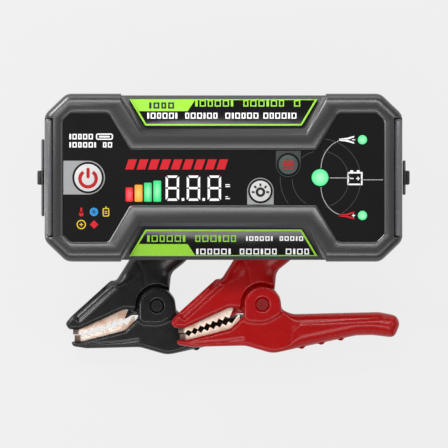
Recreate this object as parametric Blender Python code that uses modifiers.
"""Jump starter pack lying on its two battery clamps, panel up. Sizes in millimetres, model in metres.

X runs along the pack, Y up the panel and Z out of it. The origin is under the middle of the object,
on the surface that the lower clamp lies on. The black clamp lies lowest, the red one over its handle,
and the pack over both of their upper handles.
"""

import math

import bmesh
import bpy
from mathutils import Matrix, Vector

MM = 0.001
GAP = 0.3

# Pack case
PACK_Y = 24.78
PACK_Z = 34.1
PACK_DEPTH = 36.0
HALF_LENGTH = 95.0
HALF_HEIGHT = 44.6
CORNER_X = 83.3
CORNER_Y = 33.4
CORNER_RADIUS = 6.0
CASE_EDGE = 4.5
PARTING = 14.0
WALL = 2.5
ROOF = 32.5
WAIST_HALF_HEIGHT = 43.7
WAIST_HALF_LENGTH = 54.5

# Sloped flank of the waist, from its inner edge on the face down to the side
FLANK_Y = 23.8
FLANK_X = 43.9
FLANK_DROP = 10.0
FLANK_RUN = 19.9
FLANK_TILT = math.atan2(FLANK_DROP, FLANK_RUN)
FLANK_SPREAD = 0.51
FLANK_RIM = 1.0
WINDOW_RIM = 1.3

# Window, its panel and what shows through it
PANEL_TOP = 35.2
PANEL_THICK = 1.4
PANEL_LEDGE = 2.0
POWER_AT = (-71.9, 0.0)
POWER_RADIUS = 8.0
LIGHT_AT = (19.6, -7.1)
LIGHT_RADIUS = 6.2
MODE_AT = (34.4, 6.9)
MODE_RADIUS = 5.8
STATUS_AT = (51.3, 0.0)
STATUS_RADIUS = 4.5
SIDE_LAMP_X = 73.8
SIDE_LAMP_Y = 20.1
SIDE_LAMP_RADIUS = 2.5
BUTTON_TOP = 35.9
BUTTON_FOOT = 31.0
BOARD_LOW = 26.4
BOARD_THICK = 1.6

# Cells and tray
CELL_SIZE = (112.0, 60.0, 4.3)
CELL_STEP = 4.6
CELL_CENTRE = (0.0, -4.0)
CELL_FLOOR = 4.3

# Ends of the pack
END_WALL_X = 91.0
COVER_THICK = 1.5
OUTPUT_COVER_HALF = 20.5
USB_COVER_HALF = 9.2
SCREW_AT = (80.0, 35.5)

# Clamps, each about its own pivot
CLAMP_WIDTH = 16.0
CLAMP_EDGE = 1.3
EAR_THICK = 2.4
EAR_RAISE = 1.5
PIVOT_CLEAR = 11.6
PIN_RADIUS = 2.0
BLACK_PIVOT = (-35.5, -43.57, 0.0)
RED_PIVOT = (20.7, -42.67, 17.8)
TOOTH_COUNT = 7


# ---------------------------------------------------------------- scene and materials

def clear_scene():
    for thing in list(bpy.data.objects):
        bpy.data.objects.remove(thing, do_unlink=True)


def new_collection(name):
    collection = bpy.data.collections.new(name)
    bpy.context.scene.collection.children.link(collection)
    return collection


def material(name, colour, rough, metal=0.0):
    """A Principled material with one colour, roughness and metallic value."""
    made = bpy.data.materials.new(name)
    made.use_nodes = True
    shader = made.node_tree.nodes["Principled BSDF"]
    shader.inputs["Base Color"].default_value = (*colour, 1.0)
    shader.inputs["Roughness"].default_value = rough
    shader.inputs["Metallic"].default_value = metal
    made.diffuse_color = (*colour, 1.0)
    return made


COLOURS = {
    "case_grey": ((0.075, 0.077, 0.08), 0.45, 0.0),
    "panel_black": ((0.008, 0.008, 0.009), 0.12, 0.0),
    "label_green": ((0.25, 0.62, 0.03), 0.3, 0.0),
    "button_white": ((0.78, 0.78, 0.78), 0.35, 0.0),
    "button_dark": ((0.06, 0.07, 0.07), 0.3, 0.0),
    "lamp_green": ((0.1, 0.75, 0.3), 0.25, 0.0),
    "rubber_black": ((0.02, 0.02, 0.02), 0.7, 0.0),
    "strip_grey": ((0.2, 0.2, 0.21), 0.3, 0.0),
    "clear_lens": ((0.8, 0.82, 0.85), 0.08, 0.0),
    "board_green": ((0.02, 0.15, 0.06), 0.5, 0.0),
    "cell_foil": ((0.6, 0.62, 0.64), 0.35, 0.6),
    "tray_plastic": ((0.03, 0.03, 0.03), 0.6, 0.0),
    "socket_blue": ((0.02, 0.08, 0.4), 0.45, 0.0),
    "brass": ((0.7, 0.5, 0.2), 0.3, 1.0),
    "steel": ((0.55, 0.55, 0.56), 0.3, 1.0),
    "copper": ((0.75, 0.42, 0.26), 0.28, 1.0),
    "clamp_black": ((0.015, 0.015, 0.015), 0.42, 0.0),
    "clamp_red": ((0.6, 0.015, 0.015), 0.38, 0.0),
}


# ---------------------------------------------------------------- outlines

def rounded(corners, steps=3):
    """The outline through (x, y, radius) corners, each corner an arc of that radius."""
    outline = []
    for i, (x, y, radius) in enumerate(corners):
        here = Vector((x, y))
        back = Vector(corners[i - 1][:2]) - here
        ahead = Vector(corners[(i + 1) % len(corners)][:2]) - here
        if not radius:
            outline.append((x, y))
            continue
        half = back.angle(ahead) / 2
        reach = min(radius / math.tan(half), 0.48 * back.length, 0.48 * ahead.length)
        start, end = back.normalized() * reach, ahead.normalized() * reach
        if start.cross(end) == 0:
            outline.append((x, y))
            continue
        centre = (start + end).normalized() * (reach / math.cos(half))
        first, last = start - centre, end - centre
        sweep = math.atan2(first.x * last.y - first.y * last.x, first.dot(last))
        for k in range(steps + 1):
            turn = sweep * k / steps
            cos, sin = math.cos(turn), math.sin(turn)
            arm = Vector((first.x * cos - first.y * sin, first.x * sin + first.y * cos))
            outline.append(tuple(here + centre + arm))
    return outline


def four_ways(quarter):
    """Mirrors the corners of the +X +Y quarter, given from the X axis up, into a whole outline."""
    upper = quarter + [(-x, y, r) for x, y, r in reversed(quarter)]
    return upper + [(x, -y, r) for x, y, r in reversed(upper)]


CASE_OUTLINE = rounded(four_ways([
    (HALF_LENGTH, CORNER_Y, CORNER_RADIUS), (CORNER_X, HALF_HEIGHT, CORNER_RADIUS),
]))
WINDOW_OUTLINE = rounded(four_ways([
    (85.4, 30.0, 2.6), (81.2, 34.2, 2.6), (61.0, 34.2, 2.8), (49.5, 14.7, 2.4),
]), steps=2)


# ---------------------------------------------------------------- solids

class Maker:
    """Makes objects under one frame, in one collection, with their materials."""

    def __init__(self, parts, cutters, frame, prefix=""):
        self.parts, self.cutters = parts, cutters
        self.frame, self.prefix = frame, prefix

    def place(self, name, mesh, at, slot):
        """Names the object, gives it its material, or makes it a hidden cutter where slot is None."""
        thing = bpy.data.objects.new(self.prefix + name, mesh)
        thing.location = Vector(at) * MM
        thing.parent = self.frame
        if slot is None:
            self.cutters.objects.link(thing)
            thing.hide_render = True
            thing.display_type = "WIRE"
            return thing
        self.parts.objects.link(thing)
        mesh.shade_smooth()
        mesh.set_sharp_from_angle(angle=math.radians(32))
        mesh.materials.append(material(self.prefix + name, *COLOURS[slot]))
        return thing

    def plate(self, name, outline, low, high, slot=None, at=(0, 0), edge=0.0, grow=0.0, rings=2):
        """A flat outline between two heights, with its rims rounded by edge, grown by grow."""
        curve = bpy.data.curves.new(name, "CURVE")
        curve.dimensions = "2D"
        curve.fill_mode = "BOTH"
        curve.extrude = ((high - low) / 2 - edge) * MM
        curve.bevel_depth = edge * MM
        curve.bevel_resolution = rings
        curve.offset = (grow - edge) * MM
        spline = curve.splines.new("POLY")
        spline.points.add(len(outline) - 1)
        for point, (x, y) in zip(spline.points, outline):
            point.co = (x * MM, y * MM, 0, 1)
        spline.use_cyclic_u = True
        return self.place(name, self.welded(curve, (high + low) / 2), (*at, 0), slot)

    def welded(self, curve, lift=0.0):
        """The closed mesh of a curve, moved up by lift."""
        guide = bpy.data.objects.new(curve.name, curve)
        self.cutters.objects.link(guide)
        evaluated = guide.evaluated_get(bpy.context.evaluated_depsgraph_get())
        mesh = bpy.data.meshes.new_from_object(evaluated)
        bpy.data.objects.remove(guide)
        solid = bmesh.new()
        solid.from_mesh(mesh)
        bmesh.ops.remove_doubles(solid, verts=solid.verts, dist=0.00001)
        bmesh.ops.translate(solid, verts=solid.verts, vec=(0, 0, lift * MM))
        bmesh.ops.recalc_face_normals(solid, faces=solid.faces)
        solid.to_mesh(mesh)
        solid.free()
        return mesh

    def funnel(self, name, outline, low, high, spread):
        """A cutter that opens upward from an outline to that outline grown by spread."""
        wide = []
        for i, here in enumerate(outline):
            here, back = Vector(here), Vector(outline[i - 1])
            ahead = Vector(outline[(i + 1) % len(outline)])
            first, last = (here - back).normalized(), (ahead - here).normalized()
            normals = Vector((first.y, -first.x)), Vector((last.y, -last.x))
            wide.append(here + (normals[0] + normals[1]) * spread / (1 + normals[0].dot(normals[1])))
        solid = bmesh.new()
        rings = [[solid.verts.new((x * MM, y * MM, z * MM)) for x, y in row]
                 for row, z in ((outline, low), (wide, high))]
        solid.faces.new(rings[0][::-1])
        solid.faces.new(rings[1])
        for i in range(len(outline)):
            j = (i + 1) % len(outline)
            solid.faces.new((rings[0][i], rings[0][j], rings[1][j], rings[1][i]))
        mesh = bpy.data.meshes.new(name)
        solid.to_mesh(mesh)
        solid.free()
        return self.place(name, mesh, (0, 0, 0), None)

    def box(self, name, low, high, slot=None, edge=0.0, about=None):
        """A block between two opposite corners, its origin at about or at its middle."""
        middle = (Vector(low) + Vector(high)) / 2
        origin = middle if about is None else Vector(about)
        block = bmesh.new()
        bmesh.ops.create_cube(block, size=1)
        bmesh.ops.scale(block, verts=block.verts, vec=(Vector(high) - Vector(low)) * MM)
        if edge:
            bmesh.ops.bevel(block, geom=block.edges[:], offset=edge * MM, segments=2,
                            affect="EDGES", profile=0.5)
        bmesh.ops.translate(block, verts=block.verts, vec=(middle - origin) * MM)
        mesh = bpy.data.meshes.new(name)
        block.to_mesh(mesh)
        block.free()
        return self.place(name, mesh, origin, slot)

    def rod(self, name, radius, low, high, slot=None, at=(0, 0), axis="Z", tip=None, sides=24):
        """A round rod, or a cone with a tip radius, along an axis from low to high."""
        turned = bmesh.new()
        bmesh.ops.create_cone(turned, cap_ends=True, segments=sides, depth=(high - low) * MM,
                              radius1=radius * MM, radius2=(radius if tip is None else tip) * MM)
        middle = (low + high) / 2
        if axis == "X":
            bmesh.ops.rotate(turned, verts=turned.verts, matrix=Matrix.Rotation(math.pi / 2, 3, "Y"))
            where = (middle, *at)
        else:
            bmesh.ops.translate(turned, verts=turned.verts, vec=(0, 0, middle * MM))
            where = (*at, 0)
        mesh = bpy.data.meshes.new(name)
        turned.to_mesh(mesh)
        turned.free()
        return self.place(name, mesh, where, slot)

    def turned(self, name, profile, slot, at=(0, 0), steps=28):
        """A profile of (radius, height) points, from its top down the outer side, screwed round Z."""
        mesh = bpy.data.meshes.new(name)
        points = [(r * MM, 0, z * MM) for r, z in profile]
        mesh.from_pydata(points, [(i, i + 1) for i in range(len(points) - 1)], [])
        thing = self.place(name, mesh, (*at, 0), slot)
        screw = thing.modifiers.new("turn", "SCREW")
        screw.steps = screw.render_steps = steps
        screw.use_merge_vertices = True
        screw.merge_threshold = 0.00001
        return thing


def carve(target, *cutters, operation="DIFFERENCE"):
    """Cuts each cutter out of the target, or joins it on."""
    for cutter in cutters:
        boolean = target.modifiers.new(cutter.name, "BOOLEAN")
        boolean.operation = operation
        boolean.solver = "EXACT"
        boolean.object = cutter
    return target


# ---------------------------------------------------------------- pack case

def flank_cutters(pack):
    """Wedges that cut the sloped flanks of the waist, one above the panel and one below it."""
    reach = FLANK_RUN / math.cos(FLANK_TILT) + 8
    trapezoid = [(-FLANK_X, 0), (FLANK_X, 0),
                 (FLANK_X + FLANK_SPREAD * reach, reach), (-FLANK_X - FLANK_SPREAD * reach, reach)]
    wedges = []
    for name, side in (("upper_flank_cut", 1), ("lower_flank_cut", -1)):
        wedge = pack.plate(name, trapezoid, 0, 14)
        set_on_flank(wedge, side)
        wedges.append(wedge)
    return wedges


def set_on_flank(thing, side):
    """Lays an object modelled flat on the slope of one flank."""
    thing.location = Vector((0, side * FLANK_Y, PACK_DEPTH)) * MM
    thing.rotation_euler = (-FLANK_TILT, 0, 0 if side > 0 else math.pi)


def waist_cutters(pack, low, high):
    """Slices that set the waist's long sides in from the ends."""
    slices = []
    for tag, near, far in (("upper", WAIST_HALF_HEIGHT, HALF_HEIGHT + 2),
                           ("lower", -HALF_HEIGHT - 2, -WAIST_HALF_HEIGHT)):
        slices.append(pack.box(f"{tag}_waist_cut_{low}", (-WAIST_HALF_LENGTH, near, low),
                               (WAIST_HALF_LENGTH, far, high)))
    return slices


def rim_cutters(pack):
    """Chamfers round the window and along the edges of the two sloped flanks."""
    rims = [pack.funnel("window_rim", WINDOW_OUTLINE, PANEL_TOP, PACK_DEPTH + 0.4,
                        1.5 * WINDOW_RIM)]
    far = HALF_HEIGHT + 2
    wide = FLANK_X + FLANK_SPREAD * (far - FLANK_Y) / math.cos(FLANK_TILT)
    notch = [(-FLANK_X, FLANK_Y), (FLANK_X, FLANK_Y), (wide, far), (-wide, far)]
    rims.append(pack.funnel("upper_flank_rim", notch, PACK_DEPTH - 1, PACK_DEPTH + 1, 2 * FLANK_RIM))
    opposite = [(-x, -y) for x, y in notch]
    rims.append(pack.funnel("lower_flank_rim", opposite, PACK_DEPTH - 1, PACK_DEPTH + 1, 2 * FLANK_RIM))
    return rims


def corners(at):
    """The four places that mirror one place in X and Y."""
    return [(sx * at[0], sy * at[1]) for sx in (-1, 1) for sy in (-1, 1)]


def end_cutters(pack, tag):
    """Port openings in the two end walls, shared by both shells."""
    return [
        pack.box(f"output_port_cut_{tag}", (-97, -12.3, 7.7), (-90, 12.3, 24.3)),
        pack.box(f"usb_port_cut_{tag}", (90, -7.6, 10.4), (97, 7.6, 25.4)),
        pack.box(f"torch_cut_{tag}", (90, 12.6, 10.6), (97, 28.4, 23.4)),
    ]


def front_shell(pack):
    shell = pack.plate("front_shell", CASE_OUTLINE, 0, PACK_DEPTH, "case_grey", edge=CASE_EDGE)
    bosses = [pack.rod(f"boss_{i}", 3.4, WALL + GAP, ROOF + 1, at=at, sides=16)
              for i, at in enumerate(corners(SCREW_AT))]
    holes = [pack.rod(f"boss_hole_{i}", 1.6, 0, 13, at=at, sides=12)
             for i, at in enumerate(corners(SCREW_AT))]
    carve(shell, pack.box("below_parting", (-99, -49, -2), (99, 49, PARTING + GAP / 2)))
    carve(shell, pack.plate("front_cavity", CASE_OUTLINE, PARTING - 2, 23.5, grow=-WALL))
    carve(shell, *[pack.box(f"end_cavity_{side}", (min(side * 60, side * END_WALL_X), -37, 20),
                            (max(side * 60, side * END_WALL_X), 37, ROOF)) for side in (-1, 1)])
    carve(shell, *flank_cutters(pack), *rim_cutters(pack), *waist_cutters(pack, 10, 40))
    carve(shell, pack.plate("window_recess", WINDOW_OUTLINE, PANEL_TOP - PANEL_THICK - GAP, 40))
    carve(shell, pack.plate("window_hole", WINDOW_OUTLINE, 20, 35, grow=-PANEL_LEDGE))
    carve(shell, *[pack.rod(name + "_relief", radius + 1.2, 24, PANEL_TOP - PANEL_THICK,
                            at=at, sides=32) for name, at, radius, _ in button_places()])
    carve(shell, *end_cutters(pack, "front"))
    carve(shell, *[pack.box(f"strip_groove_{side}", (min(side * 90.6, side * 97), -31.7, 27.7),
                            (max(side * 90.6, side * 97), 31.7, 40)) for side in (-1, 1)])
    carve(shell, *bosses, operation="UNION")
    carve(shell, *holes)


def back_shell(pack):
    shell = pack.plate("back_shell", CASE_OUTLINE, 0, PACK_DEPTH, "case_grey", edge=CASE_EDGE)
    carve(shell, pack.box("above_parting", (-99, -49, PARTING - GAP / 2), (99, 49, 40)))
    carve(shell, pack.plate("back_cavity", CASE_OUTLINE, WALL, PARTING + 2, grow=-WALL))
    carve(shell, *waist_cutters(pack, -2, 20), *end_cutters(pack, "back"))
    for i, at in enumerate(corners(SCREW_AT)):
        carve(shell, pack.rod(f"screw_hole_{i}", 1.6, -1, 4, at=at, sides=12),
              pack.rod(f"screw_sink_{i}", 3.2, -1, 1.6, at=at, sides=16))


def case_screws(pack):
    """Pan-head screws from the back into the bosses of the front shell."""
    for i, at in enumerate(corners(SCREW_AT)):
        profile = [(0, 12.0), (1.25, 11.4), (1.25, 1.3), (2.7, 1.3), (2.7, 0.6), (2.2, 0.2), (0, 0.2)]
        pack.turned(f"case_screw_{i + 1}", profile, "steel", at=at, steps=14)


def end_strips(pack):
    """Rounded strips let into the front edges of both ends."""
    for name, side in (("left_end_strip", -1), ("right_end_strip", 1)):
        inner, outer = side * 90.9, side * 94.7
        pack.box(name, (min(inner, outer), -31.4, 28.0), (max(inner, outer), 31.4, 34.9),
                 "strip_grey", edge=1.4)


def flank_inlays(pack):
    """Label plates on the sloped flanks."""
    for name, side in (("upper_inlay", 1), ("lower_inlay", -1)):
        outline = rounded([(-41.5, 3.4, 1.5), (41.5, 3.4, 1.5), (50.3, 19.4, 0.4), (-50.3, 19.4, 0.4)], 2)
        set_on_flank(pack.plate(name, outline, GAP, 1.2, "label_green"), side)


# ---------------------------------------------------------------- window, buttons, boards

def lamp_places():
    return [("status_lamp", STATUS_AT, STATUS_RADIUS),
            ("negative_lamp", (SIDE_LAMP_X, SIDE_LAMP_Y), SIDE_LAMP_RADIUS),
            ("positive_lamp", (SIDE_LAMP_X, -SIDE_LAMP_Y), SIDE_LAMP_RADIUS)]


def button_places():
    return [("power_button", POWER_AT, POWER_RADIUS, "button_white"),
            ("light_button", LIGHT_AT, LIGHT_RADIUS, "button_white"),
            ("mode_button", MODE_AT, MODE_RADIUS, "button_dark")]


def display_panel(pack):
    panel = pack.plate("display_panel", WINDOW_OUTLINE, PANEL_TOP - PANEL_THICK, PANEL_TOP,
                       "panel_black", grow=-GAP)
    for name, at, radius, _ in button_places():
        carve(panel, pack.rod(name + "_hole", radius + GAP, 33, 37, at=at, sides=32))
    for name, at, radius in lamp_places():
        carve(panel, pack.rod(name + "_hole", radius + GAP, 33, 37, at=at, sides=24))


def buttons(pack):
    """Round keys with a flange that the panel holds down, each over its switch."""
    flange = PANEL_TOP - PANEL_THICK - GAP
    for name, at, radius, slot in button_places():
        profile = [(0, BUTTON_TOP), (radius - 0.5, BUTTON_TOP), (radius, BUTTON_TOP - 0.4),
                   (radius, flange), (radius + 0.9, flange), (radius + 0.9, flange - 0.9),
                   (2.4, flange - 0.9), (2.4, BUTTON_FOOT), (0, BUTTON_FOOT)]
        pack.turned(name, profile, slot, at=at)
        switch = name.replace("_button", "_switch")
        pack.box(switch, (at[0] - 3, at[1] - 3, BOARD_LOW + BOARD_THICK + GAP),
                 (at[0] + 3, at[1] + 3, BUTTON_FOOT - 1.1), "steel", edge=0.3)


def lamps(pack):
    """Light guides from the board to the panel's face."""
    for name, at, radius in lamp_places():
        profile = [(0, PANEL_TOP + 0.1), (radius - 0.2, PANEL_TOP + 0.1), (radius, PANEL_TOP - 0.1),
                   (radius, 30.5), (0, 30.5)]
        pack.turned(name, profile, "lamp_green", at=at, steps=24)


def boards(pack):
    pack.box("control_board", (-82.5, -12.3, BOARD_LOW), (82.5, 12.3, BOARD_LOW + BOARD_THICK),
             "board_green")
    pack.box("display_module", (-54, -13.0 + 0.8, BOARD_LOW + BOARD_THICK + GAP), (8, 6.0, 33.2),
             "tray_plastic", edge=0.4)
    pack.box("power_board", (-76.5, -30, 18.4), (-56.6, 30, 20.0), "board_green")
    pack.box("usb_board", (62, -11.5, 17.0), (88, 11.5, 18.6), "board_green")


# ---------------------------------------------------------------- cells and ends

def cells(pack):
    """Four pouch cells in a stack, in a tray on the back shell's floor."""
    x, y = CELL_CENTRE
    half_x, half_y = CELL_SIZE[0] / 2, CELL_SIZE[1] / 2
    tray = pack.box("cell_tray", (x - half_x - 2, y - half_y - 2, WALL + GAP),
                    (x + half_x + 2, y + half_y + 2, 12), "tray_plastic")
    carve(tray, pack.box("tray_hollow", (x - half_x - GAP, y - half_y - GAP, CELL_FLOOR - GAP),
                         (x + half_x + GAP, y + half_y + GAP, 14)))
    for i in range(4):
        low = CELL_FLOOR + i * CELL_STEP
        pack.box(f"cell_{i + 1}", (x - half_x, y - half_y, low),
                 (x + half_x, y + half_y, low + CELL_SIZE[2]), "cell_foil", edge=1.0)


def output_socket(pack):
    """The high-current socket in the left end, its two contacts and the bars to the cells."""
    socket = pack.box("output_socket", (-93.6, -12, 8), (-77.5, 12, 24), "socket_blue", edge=0.8)
    carve(socket, pack.box("socket_mouth", (-96, -10.2, 10.2), (-84.0, 10.2, 21.8)))
    for name, side in (("positive", 1), ("negative", -1)):
        y = side * 5.2
        carve(socket, pack.rod(f"socket_bore_{name}", 2.6, -85, -76, at=(y, 16), axis="X", sides=16))
        pack.rod(f"socket_contact_{name}", 2.2, -90.5, -77.2, "brass", at=(y, 16), axis="X", sides=16)
        low, high = sorted((y - side * 2.5, y + side * 2.5))
        pack.box(f"{name}_busbar", (-76.9, low, 15.2), (-56.5, high, 16.6), "copper")


def usb_ports(pack):
    """The charging sockets in the right end, one on each side of their board."""
    for name, low, high, half in (("usb_a_port", 18.9, 24.7, 6.6), ("usb_c_port", 13.2, 16.7, 4.6)):
        port = pack.box(name, (80, -half, low), (93.8, half, high), "steel")
        carve(port, pack.box(name + "_mouth", (82, -half + 0.5, low + 0.5), (96, half - 0.5, high - 0.5)))


def torch(pack):
    """The work light in the right end: a lens, a reflector and its light board."""
    pack.box("torch_lens", (92.6, 12.9, 10.9), (94.9, 28.1, 23.1), "clear_lens", edge=0.6)
    reflector = pack.box("torch_reflector", (83, 13.2, 11.2), (92.3, 27.8, 22.8), "steel")
    cone = pack.rod("reflector_cone", 1.8, 82, 94, at=(20.5, 17), axis="X", tip=6.2, sides=20)
    carve(reflector, cone)
    pack.box("torch_board", (81.2, 14, 12), (82.7, 27, 22), "board_green")


def port_covers(pack):
    """Rubber covers over the ports of both ends, each turning on its lower edge."""
    for name, side, half, low, high in (("output_cover", -1, OUTPUT_COVER_HALF, 6.2, 25.8),
                                        ("usb_cover", 1, USB_COVER_HALF, 8.9, 26.9)):
        wall = HALF_LENGTH + GAP
        face = wall + COVER_THICK
        hinge = (side * wall, -half, PACK_DEPTH / 2)
        near, far = sorted((side * wall, side * face))
        cover = pack.box(name, (near, -half, low), (far, half, high), "rubber_black", edge=0.6,
                         about=hinge)
        near, far = sorted((side * (face - 0.5), side * (HALF_LENGTH + 4.0)))
        carve(cover, pack.box(name + "_tab", (near, -3.8, 12), (far, 3.8, 22), edge=0.8),
              operation="UNION")


# ---------------------------------------------------------------- clamps

UPPER_HALF = rounded([
    (-46.8, -12.6, 1.7), (-49.2, -9.6, 2.0), (-45.6, -5.4, 2.5), (-24.6, 13.6, 1.2),
    (-21.8, 13.5, 2.0), (-18.2, 19.2, 6.0), (-14.6, 25.0, 12.0), (14.5, 70.5, 20.0),
    (24.0, 78.0, 6.0), (33.6, 71.5, 5.0), (29.0, 62.0, 20.0), (17.0, 25.0, 12.0),
    (7.6, 17.6, 5.0), (6.4, 6.0, 6.0), (5.2, -8.0, 5.0), (-6.0, -8.0, 5.0), (-10.6, -2.4, 2.0),
    (-17.5, -1.8, 3.0), (-41.0, -12.6, 1.6),
])
LOWER_HALF = rounded([
    (-40.2, -18.9, 1.6), (-17.2, -13.0, 4.0), (-10.2, -6.4, 3.0), (-9.8, 5.0, 6.0),
    (-2.0, 10.2, 8.0), (5.5, 9.4, 6.0), (9.6, 3.8, 5.0), (10.4, -2.8, 3.0), (15.9, -5.2, 8.0),
    (40.0, -4.6, 20.0), (62.1, -4.1, 15.0), (71.6, -5.9, 5.0), (73.4, -10.5, 5.0),
    (70.4, -17.8, 3.5), (58.7, -16.4, 12.0), (50.0, -16.6, 10.0), (22.1, -22.6, 20.0),
    (5.5, -26.2, 12.0), (-9.0, -22.0, 12.0), (-37.5, -22.7, 4.0), (-44.8, -21.6, 1.8),
    (-46.2, -18.9, 1.5),
])
EAR = rounded([
    (-9.7, -9.4, 3.0), (-9.7, 4.5, 7.0), (-3.0, 10.0, 8.0), (4.5, 9.6, 7.0), (9.6, 3.4, 7.0),
    (10.6, -5.0, 3.5), (2.0, -9.8, 10.0),
])


def toothed(start, end, depth):
    """The points of a row of teeth from start to end, standing out to the right of that way."""
    start, end = Vector(start), Vector(end)
    along = (end - start) / TOOTH_COUNT
    out = Vector((along.y, -along.x)).normalized() * depth
    points = []
    for i in range(TOOTH_COUNT):
        root = start + along * i
        points += [tuple(root), tuple(root + along * 0.5 + out)]
    return points + [tuple(end)]


def upper_half(clamp, slot):
    """The fixed half: upper jaw, cheek round the pivot and the handle that takes the lead."""
    half = clamp.plate("upper_half", UPPER_HALF, 0, CLAMP_WIDTH, slot, edge=CLAMP_EDGE)
    web = [(-9.0, 0.0), (-12.5, 0.0), (-17.2, -1.8), (-17.2, -7.2), (-13.4, -4.9), (-9.0, -4.9)]
    for tag, low, high in (("bottom", -1, EAR_THICK + GAP),
                           ("top", CLAMP_WIDTH - EAR_THICK - GAP, CLAMP_WIDTH + 1)):
        carve(half, clamp.rod(f"ear_room_{tag}", 11.4, low, high, sides=32))
    channel = [(-45.2, -16), (-45.2, -9.8), (-14.2, 3.0), (-12.0, -6)]
    carve(half, clamp.plate("upper_channel", channel, 3.6, 12.4))
    carve(half, clamp.plate("mouth_web", web[::-1], 6.0, 10.0), operation="UNION")
    carve(half, clamp.rod("upper_pin_hole", PIN_RADIUS + GAP, -1, 20, sides=16))
    carve(half, clamp.rod("spring_room", 6.6, 5, 11, sides=24),
          clamp.box("spring_mouth", (0, -5, 5), (14, 5, 11)))


def lower_half(clamp, slot):
    """The moving half: lower jaw, two ears on the pivot and the plain handle with finger ribs."""
    half = clamp.plate("lower_half", LOWER_HALF, 0, CLAMP_WIDTH, slot, edge=CLAMP_EDGE)
    raised = clamp.plate("raised_ear", EAR, 8, CLAMP_WIDTH + EAR_RAISE, edge=1.0, rings=1)
    ribs = [clamp.rod(f"finger_rib_{i}", 1.7, 3.4, CLAMP_WIDTH - 3.4, at=at, sides=12)
            for i, at in enumerate([(21.0, -22.2), (31.4, -20.0), (41.8, -17.8)])]
    carve(half, raised, *ribs, operation="UNION")
    carve(half, clamp.rod("pivot_room", PIVOT_CLEAR, EAR_THICK, CLAMP_WIDTH - EAR_THICK, sides=32))
    channel = [(-44.4, -12), (-44.4, -19.9), (-14.8, -15.6), (-11.6, -9.4), (-11.5, -5), (-12.6, -4)]
    carve(half, clamp.plate("lower_channel", channel, 3.6, 12.4))
    carve(half, clamp.rod("lower_pin_hole", PIN_RADIUS + GAP, -1, 20, sides=16),
          clamp.rod("pin_head_room", 3.8, CLAMP_WIDTH + 0.2, 20, sides=20))


def copper_jaws(clamp):
    """Toothed copper channels that line the two plastic jaws."""
    upper = [(-44.8, -10.3), (-44.8, -15.2), (-41.0, -15.3)]
    upper += toothed((-39.8, -13.6), (-16.6, -5.2), 1.7)
    upper += [(-14.6, 0.0), (-14.6, 2.3)]
    lower = [(-44.0, -19.5), (-15.2, -15.2), (-12.1, -9.2), (-11.9, -6.0), (-12.7, -5.4), (-15.6, -9.3)]
    lower += toothed((-16.0, -10.4), (-39.0, -17.2), 1.7)
    lower += [(-41.0, -15.7), (-44.0, -15.7)]
    hollows = {"upper_jaw": [(-43.4, -20), (-43.4, -11.6), (-13.0, 0.9), (-13.0, -20)],
               "lower_jaw": [(-42.6, -10), (-42.6, -18.0), (-13.0, -13.6), (-13.0, -4)]}
    for name, outline in (("upper_jaw", upper), ("lower_jaw", lower)):
        jaw = clamp.plate(name, outline, 3.9, 12.1, "copper")
        carve(jaw, clamp.plate(name + "_hollow", hollows[name], 5.2, 10.8))


def pivot_pin(clamp):
    top = CLAMP_WIDTH + EAR_RAISE + 0.2
    profile = [(0, top), (3.1, top), (3.4, top - 0.3), (3.4, CLAMP_WIDTH + 0.5),
               (PIN_RADIUS, CLAMP_WIDTH + 0.5), (PIN_RADIUS, 0.4), (0, 0.4)]
    clamp.turned("pivot_pin", profile, "steel", steps=16)


def jaw_spring(clamp):
    """A coil spring round the pin, in the room between the cheeks."""
    turns, radius, wire, per_turn = 3.5, 4.4, 0.6, 14
    curve = bpy.data.curves.new("jaw_spring", "CURVE")
    curve.dimensions = "3D"
    curve.bevel_depth = wire * MM
    curve.bevel_resolution = 1
    curve.use_fill_caps = True
    spline = curve.splines.new("POLY")
    count = int(turns * per_turn) + 1
    spline.points.add(count - 1)
    for i, point in enumerate(spline.points):
        turn = 2 * math.pi * i / per_turn
        height = 5.9 + 4.2 * i / (count - 1)
        point.co = (radius * math.cos(turn) * MM, radius * math.sin(turn) * MM, height * MM, 1)
    clamp.place("jaw_spring", clamp.welded(curve), (0, 0, 0), "steel")


# ---------------------------------------------------------------- build

def new_frame(name, at, parts):
    frame = bpy.data.objects.new(name, None)
    frame.location = Vector(at) * MM
    frame.empty_display_size = 0.02
    parts.objects.link(frame)
    return frame


def build():
    clear_scene()
    parts = new_collection("jump_starter_pack")
    cutters = new_collection("cutters")
    pack = Maker(parts, cutters, new_frame("pack_frame", (0, PACK_Y, PACK_Z), parts))
    front_shell(pack)
    back_shell(pack)
    case_screws(pack)
    end_strips(pack)
    flank_inlays(pack)
    display_panel(pack)
    buttons(pack)
    lamps(pack)
    boards(pack)
    cells(pack)
    output_socket(pack)
    usb_ports(pack)
    torch(pack)
    port_covers(pack)
    for colour, at in (("black", BLACK_PIVOT), ("red", RED_PIVOT)):
        clamp = Maker(parts, cutters, new_frame(colour + "_pivot", at, parts), colour + "_")
        upper_half(clamp, "clamp_" + colour)
        lower_half(clamp, "clamp_" + colour)
        copper_jaws(clamp)
        pivot_pin(clamp)
        jaw_spring(clamp)
    bpy.context.view_layer.update()


build()
